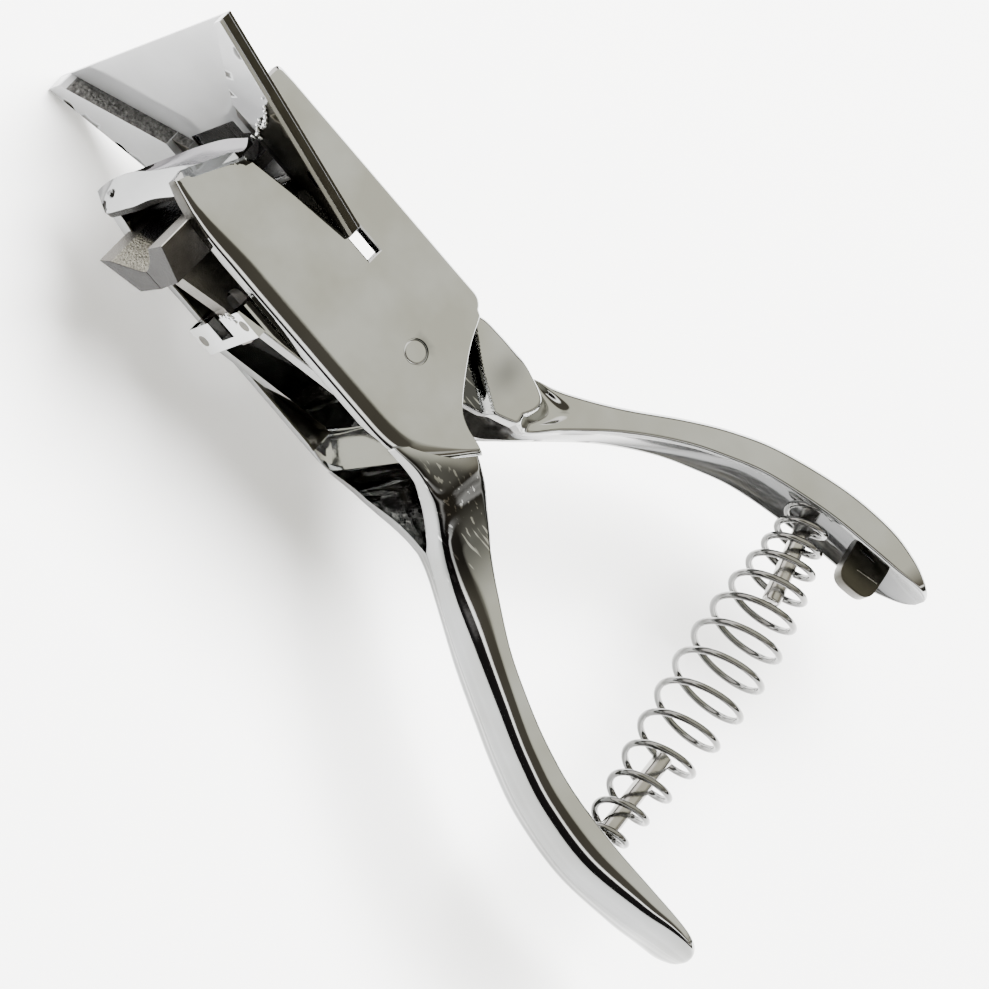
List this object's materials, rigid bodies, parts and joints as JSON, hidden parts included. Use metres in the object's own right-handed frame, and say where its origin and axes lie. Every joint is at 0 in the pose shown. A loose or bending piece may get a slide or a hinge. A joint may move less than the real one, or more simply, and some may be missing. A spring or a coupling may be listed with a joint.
{
  "type": "corner punch",
  "caption": "Plier-type corner punch: forked head with a V card guide and die, hinged lever with a channel jaw that drives a crescent punch, and a barrel spring between two curved handles.",
  "frame": {"origin": "on the pivot axis, in the outer face of the rear cheek", "axes": "+X from the pivot towards the handle ends, +Y the way the punch cuts and towards the lever's handle, +Z along the pivot axis from the rear cheek to the front cheek"},
  "size_m": [0.1693, 0.0823, 0.0632],
  "materials": {
    "plated_steel": "bright plated, lightly worn, mirror-like",
    "turned_steel": "plain turned steel",
    "tool_steel": "dark matte ground steel, granular on the cut faces"
  },
  "bodies": {
    "frame": {"frame": "plated_steel", "nose_plate": "plated_steel", "throat_block": "plated_steel", "die_block": "tool_steel", "guide_table": "plated_steel", "front_fence": "plated_steel", "rear_fence": "plated_steel", "punch_backplate": "tool_steel", "pivot_rivet": "plated_steel", "front_washer": "turned_steel", "rear_washer": "turned_steel", "lower_spring_post": "turned_steel", "lower_spring_seat": "turned_steel", "return_spring": "plated_steel"},
    "lever": {"lever": "plated_steel", "pivot_sleeve": "turned_steel", "jaw_bridge": "plated_steel", "front_bridge_rivet": "turned_steel", "rear_bridge_rivet": "turned_steel", "jaw_pin": "turned_steel", "stop_lug": "plated_steel", "upper_spring_post": "turned_steel", "upper_spring_seat": "turned_steel"},
    "punch": {"front_punch_half": "tool_steel", "rear_punch_half": "tool_steel", "punch_carrier": "tool_steel"}
  },
  "joints": [
    {"name": "lever_pivot", "type": "hinge", "parent": "frame", "child": "lever", "pos_m": [0, 0, 0.0133], "axis": [0, 0, -1], "range_deg": [0, 20], "stiffness_Nm_per_rad": 2, "springref_deg": -20.05, "deforming": ["return_spring"]},
    {"name": "punch_slide", "type": "slide", "parent": "frame", "child": "punch", "axis": [0, 1, 0], "range_m": [0, 0.0086]}
  ],
  "couplings": [
    {"joint": "punch_slide", "follows": "lever_pivot", "m_per_rad": 0.02375}
  ]
}
